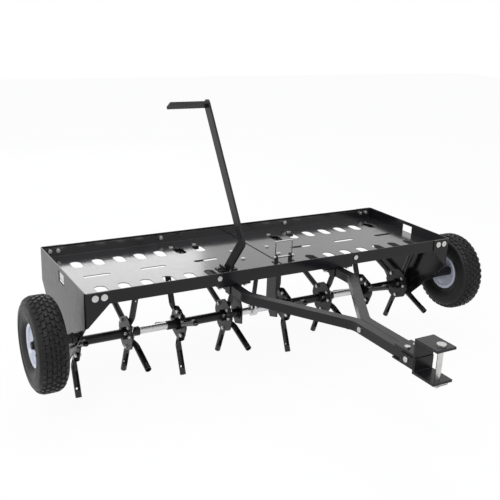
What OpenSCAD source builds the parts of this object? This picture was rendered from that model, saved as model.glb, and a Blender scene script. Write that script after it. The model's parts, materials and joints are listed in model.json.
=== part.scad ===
// Tow behind plug aerator: a ballast tray over four gangs of coring tine stars,
// two wheels on a rockshaft worked by a lever, and an A-shaped tongue with a clevis.
// Origin: centre of the clevis gap, on the hitch pin. X right, Y rearward, Z up.

/* [Tray] */
// Length of the tray between the outer faces of the end plates
tray_len = 1220; // [1180:10:1300]
// Depth of the tray over the rails
tray_depth = 411.4; // [390:1:440]
// Height of the rails
rail_h = 36; // [32:1:44]
// Thickness of the floor panels and rails
sheet = 2; // [1.5:0.1:2.5]
// Distance of the tray's centre behind the hitch pin
tray_reach = 822; // [780:1:900]
// Height of the rails' top edge above the hitch centre
tray_rise = 40; // [38:1:44]
// Height of the flange that each floor panel turns up inside a rail
pan_flange_h = 28; // [20:1:30]
// Place of the lapped seam between the floor panels
seam_x = 31; // [24:1:34]
// Width of the lap at the seam
seam_lap = 9; // [6:1:12]

/* [Floor slots] */
// Number of wide slots in each row of a floor panel
slot_count = 7; // [4:1:7]
// Width of a wide slot
slot_w = 31.5; // [24:0.5:36]
// Length of a wide slot, front to rear
slot_l = 58; // [44:1:64]
// Distance of a slot row from the tray's centre line
slot_row_y = 109; // [104:1:116]
// Place of the first wide slot from the tray's middle
slot_first_x = 141.4; // [138:0.1:150]
// Distance of the last slot from the end plate
slot_end = 78; // [70:1:90]
// Width of the narrow middle slots
mid_slot_w = 15; // [10:1:20]
// Length of the narrow middle slots
mid_slot_l = 78; // [60:1:90]
// Number of narrow slots in each floor panel
mid_slot_count = 3; // [2:1:3]
// Place of the first narrow slot from the tray's middle
mid_slot_first_x = 170; // [160:1:190]
// Distance of the last narrow slot from the end plate
mid_slot_end = 101.5; // [92:0.5:110]

/* [End plates] */
// Thickness of the end plates
end_t = 3; // [2.5:0.5:4]
// Depth from the tray's top edge to the lower corner of the upright edges
end_side_h = 92; // [84:1:100]
// Depth from the tray's top edge to the bottom of the end plates
end_drop = 250; // [245:1:258]
// Width of the flanges that wrap round the rails
end_flange_w = 65; // [60:1:70]
// Outside radius of the bends
end_bend_r = 8; // [5:1:12]
// Width of the window in each end plate
window_w = 47.6; // [30:0.1:60]
// Height of the window in each end plate
window_h = 29.5; // [20:0.5:32]
// Depth of the window's top edge below the tray's top edge
window_top = 11; // [8:1:14]
// Distance of the window's middle in front of the tray's centre line
window_ahead = 4; // [0:0.5:8]

/* [Tine shaft] */
// Diameter of the tine shaft
shaft_d = 22; // [20:0.5:24]
// Depth of the tine shaft below the tray's top edge
shaft_depth = 216; // [212:1:220]
// Distance of the tine shaft in front of the tray's centre line
shaft_ahead = 18; // [12:1:22]
// Radial clearance of every part that turns on a shaft
run_clear = 0.05; // [0.02:0.01:0.08]
// Side clearance between turning parts
side_clear = 0.5; // [0.4:0.1:0.8]
// Outside diameter of the bushes in the plates
bush_d = 28; // [27:0.5:30]
// Diameter of the bush flanges
bush_flange_d = 38; // [34:1:42]
// Thickness of the bush flanges
bush_flange_t = 3; // [2:0.5:4]

/* [Tine gangs] */
// Outside diameter of the gang tubes
gang_tube_d = 27.5; // [27:0.5:30]
// Place of the third gang's left star from the middle
star_first_x = 103; // [102:1:106]
// Distance of the leftmost star from the end plate's outer face
star_end = 26; // [26:1:30]
// Distance between the two stars of a gang
star_span = 152; // [148:1:156]
// Distance between the gangs on one side of the middle
gang_pitch = 318; // [312:1:322]
// Length of the gang tubes past the stars that face each other
gang_tail = 39; // [34:1:44]
// Corner radius of a star plate
star_r = 54; // [52:0.5:56]
// Distance of a star plate's flats from the shaft
star_flat = 49; // [48:0.5:52]
// Thickness of a star plate
star_t = 4; // [3:0.5:5]
// Angle of the first tine of the even stars below straight ahead
even_star_angle = 21; // [0:1:44]
// Angle by which the two stars of a gang are turned apart
star_stagger = 44; // [0:1:45]
// Diameter of a star's hub collar
collar_d = 36; // [34:1:40]
// Length of a star's hub collar
collar_l = 14; // [12:1:16]

/* [Tines] */
// Radius of the tine tips round the shaft
tine_tip_r = 152; // [140:1:160]
// Outside diameter of a coring tine
tine_d = 18; // [16:0.5:20]
// Wall thickness of a coring tine
tine_wall = 2; // [1.5:0.1:2.5]
// Width of the flattened root of a tine
tine_root_w = 20; // [18:0.5:22]
// Thickness of the flattened root of a tine
tine_root_t = 3.5; // [3:0.5:4]
// Radius where a tine's root starts
tine_root_r = 27; // [25:0.5:29]
// Radius where the root starts to open into the tube
tine_tube_r = 30; // [28:1:34]
// Radius where a tine reaches its full depth
tine_full_r = 66; // [60:1:80]
// Radius where the slot for the cores starts
core_slot_r = 78; // [70:1:90]
// Length of the closed ring at a tine's tip
tip_ring = 20; // [14:1:26]
// Radius of the tine bolts round the shaft
tine_bolt_r = 40; // [38:0.5:42]
// Angle of a tine bolt beside its tine
tine_bolt_turn = 27; // [24:1:30]
// Diameter of the tine bolts
tine_bolt_d = 6; // [5:0.5:7]
// Slant of the cutting tip
tip_slant = 32; // [20:1:40]
// Distance of the relief hole from the tip
tip_hole_in = 24; // [18:1:30]
// Diameter of the relief hole
tip_hole_d = 6; // [4:0.5:7]

/* [Wheels] */
// Outside diameter of the tyres
tyre_d = 256; // [240:1:262]
// Width of the tyres
tyre_w = 80; // [76:1:88]
// Diameter of the rim flanges
rim_d = 116; // [112:1:124]
// Width of the rims between the inner faces of their flanges
rim_w = 51; // [48:1:56]
// Radius of the tyres' shoulders
shoulder_r = 28; // [18:1:34]
// Thickness of the tyres under the crown
tread_t = 9; // [7:0.5:11]
// Distance of a wheel's middle from the tray's middle, past the end plate
wheel_out = 90; // [88:1:96]
// Length of the wheel arms between shaft and axle
arm_len = 133.8; // [126:0.1:140]
// Angle of the wheel arms above level in the working position
arm_angle = 30.6; // [26:0.1:34]
// Width of the wheel arms
arm_w = 32; // [30:1:36]
// Thickness of the wheel arms
arm_t = 6; // [5:0.5:7]
// Gap between an end plate and its wheel arm
arm_gap = 10; // [9.5:0.1:11]
// Diameter of the axle bolts
axle_d = 16; // [14:0.5:17]
// Outside diameter of the wheel hubs
hub_d = 30; // [28:1:34]
// Reach of the hubs past the wheels' middle
hub_reach = 22; // [18:1:30]

/* [Lever and linkage] */
// Diameter of the lift shaft
lift_d = 16; // [14:0.5:17]
// Distance of the lift shaft in front of the tray's centre line
lift_ahead = 80; // [78:1:84]
// Depth of the lift shaft below the tray's top edge
lift_depth = 60; // [59:1:62]
// Place of the lever left of the tray's middle
lever_x = 152; // [148:1:154]
// Width of the lever bar
lever_w = 30; // [26:1:32]
// Thickness of the lever bar
lever_t = 6; // [5:0.5:7]
// Height of the lever's top above the tray's top edge
lever_top = 421; // [380:1:460]
// Length of the lever's handle
grip_l = 118; // [100:1:130]
// Thickness of the lever's handle
grip_t = 8; // [6:0.5:10]
// Place of the hanging link left of the tray's middle
link_x = 22; // [18:1:26]
// Width of the hanging link
link_w = 18; // [16:0.5:20]
// Thickness of the hanging link
link_t = 5; // [4:0.5:6]
// Radial play at the link's lower pivot, which follows a curved path
link_play = 3.8; // [3.6:0.1:4]
// Diameter of the link's pivots
pivot_d = 8; // [7:0.5:9]

/* [Tongue] */
// Size of the square tongue tubes
tube = 25; // [24:0.5:27]
// Wall thickness of the tongue tubes
tube_wall = 2; // [1.5:0.1:3]
// Place of the tongue arms from the middle, under the tray
arm_x = 178; // [174:1:182]
// Depth of the tongue tubes' top below the tray's top edge
tongue_top = 44; // [43:0.5:46]
// Reach of the arms in front of the tray's centre before they turn in
tongue_bend_y = 268; // [262:1:280]
// Reach of the arms in front of the tray's centre where they meet
tongue_meet_y = 540; // [530:1:560]
// Reach of the arms' rear ends behind the tray's centre
tongue_rear_y = 176; // [160:1:185]
// Centre line radius of the tube bends
tongue_bend_r = 60; // [40:1:80]

/* [Hitch] */
// Diameter of the hitch pin
pin_d = 13; // [11:0.5:16]
// Width of the clevis plates
clevis_w = 56; // [54:1:60]
// Thickness of the clevis plates
clevis_t = 6; // [5:0.5:7]
// Height of the clevis gap
clevis_gap = 74; // [70:1:76]
// Reach of the clevis plates past the pin
clevis_nose = 18; // [14:1:22]
// Distance of the tongue's end behind the hitch pin
pin_ahead = 57; // [52:1:67]
// Distance of the cross bolt behind the tongue's end
cross_bolt_in = 17; // [15:1:18]
// Distance of the clevis bolts behind the tongue's end
clevis_bolt_in = 35; // [34:1:40]
// Length of the clevis plates on the tongue
clevis_seat_l = 65; // [60:1:90]

/* [Hidden] */
$fn = 48;
eps = 0.01;

m8_r = 4;
m8_hole_r = 4.2;
half_len = tray_len / 2;
half_dep = tray_depth / 2;
floor_top = -rail_h + sheet;
floor_bottom = -rail_h;
rail_in = half_dep - sheet;
pan_in = rail_in - sheet;
end_in = half_len - end_t;
rail_end = half_len - end_bend_r;
corner_dep = half_dep - end_bend_r;
slot_pitch = (half_len - slot_end - slot_first_x) / (slot_count - 1);
mid_slot_pitch = (half_len - mid_slot_end - mid_slot_first_x) / (mid_slot_count - 1);
shaft_y = -shaft_ahead;
shaft_z = -shaft_depth;
bore_r = shaft_d / 2 + run_clear;
gang_left_x = star_end - half_len;
GANG_START = [gang_left_x, gang_left_x + gang_pitch, star_first_x, star_first_x + gang_pitch];
STAR_X = [for (x = GANG_START) for (dx = [0, star_span]) x + dx];
bracket_x = 64;
bracket_t = 4;
bracket_out = bracket_x + bracket_t / 2;
gang_inner_x = bracket_out + bush_flange_t + side_clear;
gang_outer_x = end_in - bush_flange_t - side_clear;
GANG_X = [
    [-gang_outer_x, STAR_X[1] + gang_tail],
    [STAR_X[2] - gang_tail, -gang_inner_x],
    [gang_inner_x, STAR_X[5] + gang_tail],
    [STAR_X[6] - gang_tail, gang_outer_x]
];
axle_y = shaft_y - arm_len * cos(arm_angle);
axle_z = shaft_z + arm_len * sin(arm_angle);
axle_bore_r = axle_d / 2 + run_clear;
arm_in = half_len + arm_gap;
arm_out = arm_in + arm_t;
wheel_x = half_len + wheel_out;
axle_head_t = 8;
axle_hex_r = 14;
axle_cap_r = 12;
axle_nut_t = 10;
hub_in = arm_out + axle_nut_t + side_clear;
hub_out = wheel_x + hub_reach;
axle_cap_t = 7;
axle_end = hub_out + side_clear + axle_cap_t + 1.5;
lift_y = -lift_ahead;
lift_z = -lift_depth;
lift_crank_r = 24;
lift_crank_angle = 24.6;
rock_crank_r = 26;
rock_crank_angle = 129.2;
crank_t = 6;
link_top_y = lift_y + lift_crank_r * cos(lift_crank_angle);
link_top_z = lift_z + lift_crank_r * sin(lift_crank_angle);
link_low_y = shaft_y + rock_crank_r * cos(rock_crank_angle);
link_low_z = shaft_z + rock_crank_r * sin(rock_crank_angle);
crank_x = -link_x + link_t / 2 + side_clear + crank_t / 2;
tube_top_z = -tongue_top;
tube_mid_z = tube_top_z - tube / 2;
tube_low_z = tube_top_z - tube;
join_x = tube / 2 + side_clear;
tongue_end_y = tray_reach - pin_ahead;
bend_angle = atan2(arm_x - join_x, tongue_meet_y - tongue_bend_y);
bend_cut = tongue_bend_r * tan(bend_angle / 2);
pin_y = -tray_reach;
gap_top_z = -tray_rise + clevis_gap / 2;
gap_low_z = -tray_rise - clevis_gap / 2;
m8_head_r = 7;
m8_nut_t = 6.5;
m10_head_r = 9;
rail_bolt_z = -14.5;
mid_rail_bolt_x = 231;
end_bolt_in = 26;
end_bolt_pitch = 24;
END_BOLT_X = [half_len - end_bolt_in - end_bolt_pitch, half_len - end_bolt_in];
FLOOR_BOLT = [63.3, 37];
strap_reach = tube / 2 + 27.5;
strap_front_in = 21.7;
strap_rear_in = 26;
STRAP_Y = [strap_front_in - half_dep, tongue_rear_y - strap_rear_in];

module at_tray() {
    translate([0, tray_reach, tray_rise]) children();
}

module x_rod(x0, x1, y, z, r) {
    translate([x0, y, z]) rotate([0, 90, 0]) cylinder(h = x1 - x0, r = r);
}

module y_rod(y0, y1, x, z, r) {
    translate([x, y1, z]) rotate([90, 0, 0]) cylinder(h = y1 - y0, r = r);
}

module x_hex(x0, x1, y, z, r) {
    translate([x0, y, z]) rotate([0, 90, 0]) cylinder(h = x1 - x0, r = r, $fn = 6);
}

// A flat plate drawn in Y and Z, standing across X
module yz_plate(x0, x1) {
    translate([x0, 0, 0]) rotate([90, 0, 90]) linear_extrude(x1 - x0) children();
}

// A bar with round ends between two points, drawn in Y and Z
module bar_2d(a, b, w) {
    len = norm(b - a);
    ang = atan2(b[1] - a[1], b[0] - a[0]);
    translate(a) rotate(ang) {
        circle(d = w);
        translate([0, -w / 2]) square([len, w]);
        translate([len, 0]) circle(d = w);
    }
}

module slot_2d(len_x, len_y) {
    r = min(len_x, len_y) / 2;
    if (len_x > len_y) {
        square([len_x - 2 * r, len_y], center = true);
        for (s = [-1, 1]) translate([s * (len_x / 2 - r), 0]) circle(r);
    } else {
        square([len_x, len_y - 2 * r], center = true);
        for (s = [-1, 1]) translate([0, s * (len_y / 2 - r)]) circle(r);
    }
}

// The slots of one floor panel; the front row can start further out, past the lever
module floor_slots_2d(front_first) {
    for (s = [-1, 1], i = [s < 0 ? front_first : 0:slot_count - 1])
        translate([slot_first_x + i * slot_pitch, s * slot_row_y]) slot_2d(slot_w, slot_l);
    for (i = [0:mid_slot_count - 1])
        translate([mid_slot_first_x + i * mid_slot_pitch, 0]) slot_2d(mid_slot_l, mid_slot_w);
}

module floor_2d(x0, x1, side) {
    difference() {
        union() {
            flank_x0 = max(x0, -rail_end);
            translate([flank_x0, -rail_in]) square([min(x1, rail_end) - flank_x0, 2 * rail_in]);
            translate([x0, -corner_dep]) square([x1 - x0, 2 * corner_dep]);
        }
        mirror([side < 0 ? 1 : 0, 0]) floor_slots_2d(side < 0 ? 1 : 0);
        for (s = [-1, 1]) translate([side * FLOOR_BOLT[0], s * FLOOR_BOLT[1]]) circle(m8_hole_r);
        for (s = [-1, 1], y = STRAP_Y) translate([side * arm_x + s * strap_reach, y]) circle(m8_hole_r);
    }
}

// The turned-up flanges of a floor panel, with the holes for the rail bolts
module pan_flanges(x0, x1, side) {
    difference() {
        for (s = [-1, 1])
            translate([x0, s > 0 ? pan_in : -rail_in, floor_bottom])
                cube([x1 - x0, sheet, sheet + pan_flange_h]);
        rail_bolt_holes(side);
    }
}

module rail_bolt_holes(side) {
    for (x = concat(END_BOLT_X, [mid_rail_bolt_x]))
        y_rod(-half_dep - 10, half_dep + 10, side * x, rail_bolt_z, m8_hole_r);
}

lever_slot_l = 78;
lever_slot_w = lever_t + 5;
lever_slot_y = -96;
module floor_panel_left() {
    color("dimgray") at_tray() {
        difference() {
            translate([0, 0, floor_bottom]) linear_extrude(sheet) floor_2d(-end_in, seam_x, -1);
            translate([-lever_x, lever_slot_y, floor_bottom - 1]) linear_extrude(sheet + 2)
                slot_2d(lever_slot_w, lever_slot_l);
        }
        pan_flanges(-rail_end, seam_x, -1);
    }
}

module floor_panel_right() {
    color("dimgray") at_tray() {
        translate([0, 0, floor_bottom]) linear_extrude(sheet) floor_2d(seam_x + side_clear, end_in, 1);
        translate([seam_x - seam_lap, -pan_in, floor_top])
            cube([seam_lap + side_clear + 4, 2 * pan_in, sheet]);
        pan_flanges(seam_x + side_clear, rail_end, 1);
    }
}

module rail(side) {
    difference() {
        translate([-rail_end, side > 0 ? rail_in : -half_dep, floor_bottom])
            cube([2 * rail_end, sheet, rail_h]);
        for (s = [-1, 1]) rail_bolt_holes(s);
    }
}

module front_rail() {
    color("black") at_tray() rail(-1);
}

module rear_rail() {
    color("black") at_tray() rail(1);
}

// Plan outline of an end plate with both flanges, for the right-hand end
module end_plan_2d() {
    dep = half_dep + end_t;
    difference() {
        union() {
            translate([half_len - end_flange_w, -dep]) square([end_flange_w - end_bend_r, 2 * dep]);
            translate([half_len - end_bend_r, -dep + end_bend_r])
                square([end_bend_r, 2 * (dep - end_bend_r)]);
            for (s = [-1, 1]) translate([half_len - end_bend_r, s * (dep - end_bend_r)]) circle(end_bend_r);
        }
        r = end_bend_r - end_t;
        translate([half_len - end_flange_w - 1, -half_dep])
            square([end_flange_w + 1 - end_bend_r, 2 * half_dep]);
        translate([half_len - end_bend_r - eps, -half_dep + r]) square([r + eps, 2 * (half_dep - r)]);
        for (s = [-1, 1]) translate([half_len - end_bend_r, s * (half_dep - r)]) circle(r);
    }
}

module end_plate_right_shape() {
    dep = half_dep + end_t;
    foot = dep - (end_drop - end_side_h);
    taper = end_flange_w - end_bend_r;
    difference() {
        intersection() {
            translate([0, 0, -end_drop]) linear_extrude(end_drop) end_plan_2d();
            yz_plate(half_len - end_flange_w - 1, half_len + 1)
                polygon([
                    [-dep, 0], [-dep, -end_side_h], [-foot, -end_drop],
                    [foot, -end_drop], [dep, -end_side_h], [dep, 0]
                ]);
        }
        // the flanges taper away below the rails
        translate([half_len - end_bend_r, dep + 1, -end_side_h])
            rotate([90, 0, 0]) linear_extrude(2 * dep + 2)
                polygon([[0, 0], [-taper - 1, taper + 1], [-taper - 1, -end_drop], [0, -end_drop]]);
        translate([half_len - end_t - 1, -window_w / 2 - window_ahead, -window_top - window_h])
            cube([end_t + 2, window_w, window_h]);
        x_rod(half_len - end_t - 1, half_len + 1, shaft_y, shaft_z, bush_d / 2 + eps);
        rail_bolt_holes(1);
    }
}

module end_plate_right() {
    color("black") at_tray() end_plate_right_shape();
}

module end_plate_left() {
    color("black") at_tray() mirror([1, 0, 0]) end_plate_right_shape();
}

// A carriage bolt through a rail from outside, with its nut inside the tray
module rail_bolt(x, side, outer, head_r) {
    mirror([0, side > 0 ? 0 : 1, 0]) {
        difference() {
            y_rod(outer, outer + 4, x, rail_bolt_z, head_r);
            y_rod(outer + 2.8, outer + 5, x, rail_bolt_z, head_r * 0.35);
        }
        y_rod(pan_in - m8_nut_t - 2, outer, x, rail_bolt_z, m8_r);
        translate([x, pan_in, rail_bolt_z]) rotate([90, 0, 0])
            cylinder(h = m8_nut_t, r = m8_head_r, $fn = 6);
    }
}

module rail_bolts() {
    color("silver") at_tray() for (sx = [-1, 1], side = [-1, 1]) {
        for (x = END_BOLT_X) rail_bolt(sx * x, side, half_dep + end_t, m10_head_r);
        rail_bolt(sx * mid_rail_bolt_x, side, half_dep, m8_head_r);
    }
}

bracket_top_t = 4;
module at_floor_bolts(sx) {
    for (sy = [-1, 1]) translate([sx * FLOOR_BOLT[0], sy * FLOOR_BOLT[1], 0]) children();
}

module floor_bolts() {
    nut_low = floor_bottom - bracket_top_t - m8_nut_t;
    color("silver") at_tray() for (sx = [-1, 1]) at_floor_bolts(sx) {
        translate([0, 0, floor_top]) cylinder(h = 3.5, r = m8_head_r);
        translate([0, 0, nut_low - 2]) cylinder(h = floor_top - nut_low + 3, r = m8_r);
        translate([0, 0, nut_low]) cylinder(h = m8_nut_t, r = m8_head_r, $fn = 6);
    }
}

nut_room_h = 10;
bracket_front = -33;
bracket_rear = 23;
bracket_flange = 16;
bracket_drop = 40;
bracket_cheek = 12;
bracket_cheek_rise = 46;
bracket_top_w = 46;
bracket_top_l = 100;
bracket_top_in = 16;
bracket_slant_rise = 30;
module centre_bracket_right_shape() {
    low = shaft_z - bracket_drop;
    cheek_z = shaft_z + bracket_cheek_rise;
    top_z = floor_bottom - bracket_top_t;
    flange_x = bracket_x + bracket_flange;
    difference() {
        union() {
            yz_plate(bracket_x - bracket_t / 2, bracket_out) polygon([
                [bracket_front, top_z + 1], [bracket_front, cheek_z],
                [bracket_front - bracket_cheek, cheek_z - 26],
                [bracket_front - bracket_cheek, low + bracket_cheek],
                [shaft_y + bracket_cheek, low], [bracket_rear, low + bracket_drop], [bracket_rear, top_z + 1]
            ]);
            // the front flange is cut to a slant at its foot
            translate([0, bracket_front + bracket_t, 0]) rotate([90, 0, 0]) linear_extrude(bracket_t)
                polygon([
                    [bracket_x, top_z + 1], [flange_x, top_z + 1], [flange_x, cheek_z + bracket_slant_rise],
                    [bracket_out, cheek_z + 8], [bracket_x, cheek_z + 8]
                ]);
            translate([FLOOR_BOLT[0] - bracket_top_in, -bracket_top_l / 2, top_z])
                cube([bracket_top_w, bracket_top_l, bracket_top_t]);
        }
        x_rod(bracket_x - 5, bracket_x + 5, shaft_y, shaft_z, bush_d / 2 + eps);
        at_floor_bolts(1) {
            translate([0, 0, top_z - 1]) cylinder(h = bracket_top_t + 2, r = m8_hole_r);
            // room for the nut and a spanner beside the web
            translate([0, 0, top_z - nut_room_h]) cylinder(h = nut_room_h, r = m8_head_r + 1);
        }
    }
}

module centre_bracket_right() {
    color("black") at_tray() centre_bracket_right_shape();
}

module centre_bracket_left() {
    color("black") at_tray() mirror([1, 0, 0]) centre_bracket_right_shape();
}

// A flanged bush in a plate: the flange lies on the side that the sign names
module shaft_bush(x0, x1, flange_side) {
    f0 = flange_side > 0 ? x1 : x0 - bush_flange_t;
    difference() {
        union() {
            x_rod(x0, x1, shaft_y, shaft_z, bush_d / 2);
            x_rod(f0, f0 + bush_flange_t, shaft_y, shaft_z, bush_flange_d / 2);
        }
        x_rod(x0 - 10, x1 + 10, shaft_y, shaft_z, bore_r);
    }
}

module shaft_bushes() {
    color("dimgray") at_tray() {
        for (m = [0, 1]) mirror([m, 0, 0]) {
            shaft_bush(end_in, half_len, -1);
            shaft_bush(bracket_x - bracket_t / 2, bracket_out, 1);
        }
    }
}

// Upright ears under the floor that carry the lift shaft
ear_t = 4;
ear_r = 14;
ear_foot_w = 26;
ear_foot_l = 40;
LIFT_EAR_X = [-124, 12];
module lift_bearings() {
    color("black") at_tray() for (x = LIFT_EAR_X) {
        difference() {
            union() {
                yz_plate(x, x + ear_t) {
                    translate([lift_y, lift_z]) circle(ear_r);
                    translate([lift_y - ear_r, lift_z]) square([2 * ear_r, floor_bottom - lift_z]);
                }
                translate([x, lift_y - ear_foot_l / 2, floor_bottom - 3]) cube([ear_foot_w, ear_foot_l, 3]);
            }
            x_rod(x - 1, x + ear_t + 1, lift_y, lift_z, lift_d / 2 + run_clear);
        }
    }
}

// The U-shaped guide that the lever stands in
guide_in = 10.5;
guide_t = 3;
guide_len = 34;
guide_h = 12;
guide_foot = 18;
module lever_guide() {
    color("black") at_tray() {
        translate([-lever_x, lever_slot_y - guide_len / 2, floor_top]) for (s = [-1, 1]) {
            translate([s > 0 ? guide_in : -guide_in - guide_t, 0, 0]) cube([guide_t, guide_len, guide_h]);
            translate([s > 0 ? guide_in : -guide_in - guide_foot, 0, 0])
                cube([guide_foot, guide_len, guide_t]);
        }
        for (s = [-1, 1]) translate([-lever_x + s * (guide_in + 11), lever_slot_y, floor_top + guide_t])
            cylinder(h = 4, r = 5.5, $fn = 6);
    }
}

// Two ears on the floor that carry the tie-down bail, whose legs stand outside them
bail_x0 = 16;
bail_x1 = 62;
bail_y = -102;
bail_z = -19;
bail_rod_r = 3;
ear_w = 18;
bail_ear_t = 3;
ear_foot = 12;
module bail_ears() {
    color("black") at_tray() for (x = [bail_x0 - bail_ear_t, bail_x1]) difference() {
        union() {
            yz_plate(x, x + bail_ear_t) {
                translate([bail_y, bail_z]) circle(ear_w / 2);
                translate([bail_y - ear_w / 2, floor_top]) square([ear_w, bail_z - floor_top]);
            }
            translate([x < bail_x1 ? x + bail_ear_t - ear_foot : x, bail_y - ear_w / 2, floor_top])
                cube([ear_foot, ear_w, 2]);
        }
        x_rod(x - 1, x + bail_ear_t + 1, bail_y, bail_z, bail_rod_r + eps);
    }
}

bail_eye_w = 5;
bail_head_t = 3;
bail_leg_in = bail_ear_t + side_clear + bail_eye_w / 2;
bail_rod_out = bail_ear_t + bail_eye_w + 2 * side_clear;
module bail_rod() {
    color("silver") at_tray() {
        x_rod(bail_x0 - bail_rod_out - 1, bail_x1 + bail_rod_out + 1, bail_y, bail_z, bail_rod_r);
        x_rod(bail_x0 - bail_rod_out - bail_head_t, bail_x0 - bail_rod_out, bail_y, bail_z, 5.5);
        x_rod(bail_x1 + bail_rod_out, bail_x1 + bail_rod_out + bail_head_t, bail_y, bail_z, 5.5);
    }
}

bail_wire = 4;
bail_eye_r = 5.5;
bail_top = 50;
module bail() {
    w = bail_wire / 2;
    x0 = bail_x0 - bail_leg_in;
    x1 = bail_x1 + bail_leg_in;
    color("silver") at_tray() translate([0, bail_y, bail_z]) difference() {
        union() {
            for (x = [x0, x1]) {
                x_rod(x - bail_eye_w / 2, x + bail_eye_w / 2, 0, 0, bail_eye_r);
                translate([x, 0, bail_rod_r + 1]) cylinder(h = bail_top - bail_rod_r - 1, r = w);
                translate([x, 0, bail_top]) sphere(w);
            }
            x_rod(x0, x1, 0, bail_top, w);
        }
        x_rod(x0 - 10, x1 + 10, 0, 0, bail_rod_r + run_clear);
    }
}

// Centre line of the right tongue arm in plan: X, Y and how far it has turned in
bend_steps = 8;
function arm_line(over) = concat(
    [[arm_x, tongue_rear_y + over, 0]],
    [for (k = [0:bend_steps]) let (a = bend_angle * k / bend_steps)
        [arm_x - tongue_bend_r * (1 - cos(a)), bend_cut - tongue_bend_y - tongue_bend_r * sin(a), a]],
    [for (k = [bend_steps:-1:0]) let (a = bend_angle * k / bend_steps)
        [join_x + tongue_bend_r * (1 - cos(a)), tongue_bend_r * sin(a) - tongue_meet_y - bend_cut, a]],
    [[join_x, -tongue_end_y - over, 0]]
);

function arm_side(line, off) = [for (p = line) [p[0] + off * cos(p[2]), p[1] - off * sin(p[2])]];

// A band of the given width along the arm's centre line
module arm_band_2d(w, over) {
    line = arm_line(over);
    left = arm_side(line, -w / 2);
    polygon(concat(arm_side(line, w / 2), [for (i = [len(left) - 1:-1:0]) left[i]]));
}

module tongue_arm_shape() {
    inner = tube - 2 * tube_wall;
    difference() {
        translate([0, 0, tube_low_z]) linear_extrude(tube) arm_band_2d(tube, 0);
        translate([0, 0, tube_low_z + tube_wall]) linear_extrude(inner) arm_band_2d(inner, 1);
    }
}

// Bolt places on the tongue, measured in front of the tray's centre
join_bolt_y = tongue_meet_y + 29;
cross_bolt_y = tongue_end_y - cross_bolt_in;
clevis_bolt_y = tongue_end_y - clevis_bolt_in;
clevis_rear_y = tongue_end_y - clevis_seat_l;
module tongue_holes() {
    for (y = [join_bolt_y, cross_bolt_y]) x_rod(-2 * tube, 2 * tube, -y, tube_mid_z, m8_hole_r);
    for (s = [-1, 1]) translate([s * join_x, -clevis_bolt_y, tube_low_z - tube / 2])
        cylinder(h = 2 * tube, r = m8_hole_r);
}

module tongue_arm_right() {
    color("black") at_tray() difference() {
        tongue_arm_shape();
        tongue_holes();
    }
}

module tongue_arm_left() {
    color("black") at_tray() difference() {
        mirror([1, 0, 0]) tongue_arm_shape();
        tongue_holes();
    }
}

// Saddle straps that hold the arms against spacer plates under the floor
strap_t = 3;
strap_w = 26;
module at_straps() {
    for (sx = [-1, 1], y = STRAP_Y) translate([sx * arm_x, y, 0]) children();
}

module tongue_straps() {
    reach = strap_reach + 11;
    color("black") at_tray() at_straps() translate([0, -strap_w / 2, 0]) difference() {
        union() {
            translate([-reach, 0, tube_top_z]) cube([2 * reach, strap_w, floor_bottom - tube_top_z]);
            translate([-tube / 2 - strap_t, 0, tube_low_z - strap_t])
                cube([tube + 2 * strap_t, strap_w, strap_t]);
            for (s = [-1, 1]) {
                translate([s > 0 ? tube / 2 : -tube / 2 - strap_t, 0, tube_low_z - 1])
                    cube([strap_t, strap_w, tube + 1 - strap_t / 2]);
                translate([s > 0 ? tube / 2 : -reach, 0, tube_top_z - strap_t])
                    cube([reach - tube / 2, strap_w, strap_t + eps]);
            }
        }
        for (s = [-1, 1]) translate([s * strap_reach, strap_w / 2, tube_low_z])
            cylinder(h = 2 * tube, r = m8_hole_r);
    }
}

module strap_bolts() {
    nut_low = tube_top_z - strap_t - m8_nut_t;
    color("silver") at_tray() at_straps() for (s = [-1, 1]) translate([s * strap_reach, 0, 0]) {
        translate([0, 0, floor_top]) cylinder(h = 2, r = m8_head_r);
        translate([0, 0, nut_low - 2]) cylinder(h = floor_top - nut_low + 3, r = m8_r);
        translate([0, 0, nut_low]) cylinder(h = m8_nut_t, r = m8_head_r, $fn = 6);
    }
}

side_plate_t = 4;
side_plate_l = 44;
module tongue_bolts() {
    side = tube + side_clear;
    nut_low = tube_low_z - side_plate_t - m8_nut_t;
    head_low = tube_top_z + clevis_t;
    color("silver") at_tray() {
        for (b = [[-join_bolt_y, side], [-cross_bolt_y, side + side_plate_t + 2 * eps]]) {
            x_rod(-b[1] - 1, b[1] + m8_nut_t + 2, b[0], tube_mid_z, m8_r);
            x_rod(-b[1] - 3.5, -b[1], b[0], tube_mid_z, m8_head_r);
            x_hex(b[1], b[1] + m8_nut_t, b[0], tube_mid_z, m8_head_r);
        }
        for (s = [-1, 1]) translate([s * join_x, -clevis_bolt_y, 0]) {
            translate([0, 0, nut_low]) cylinder(h = m8_nut_t, r = m8_head_r, $fn = 6);
            translate([0, 0, nut_low - 2]) cylinder(h = head_low - nut_low + 3, r = m8_r);
            translate([0, 0, head_low]) cylinder(h = 4, r = m8_head_r);
        }
    }
}

// Upper clevis plate: a strap on the tubes that steps up and turns forward
step_y = -tongue_end_y - 2;
module clevis_upper() {
    web_h = gap_top_z - tube_top_z + clevis_t;
    color("black") at_tray() difference() {
        union() {
            translate([-tube - side_clear, step_y - clevis_t, tube_top_z])
                cube([2 * (tube + side_clear), -clevis_rear_y - step_y + clevis_t, clevis_t]);
            translate([-clevis_w / 2, step_y - clevis_t, tube_top_z]) cube([clevis_w, clevis_t, web_h]);
            translate([-clevis_w / 2, pin_y - clevis_nose, gap_top_z])
                cube([clevis_w, step_y - pin_y + clevis_nose, clevis_t]);
        }
        for (s = [-1, 1]) translate([s * join_x, -clevis_bolt_y, tube_top_z - 1])
            cylinder(h = clevis_t + 2, r = m8_hole_r);
        translate([0, pin_y, gap_top_z - 1]) cylinder(h = clevis_t + 2, r = pin_d / 2 + run_clear);
    }
}

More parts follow.
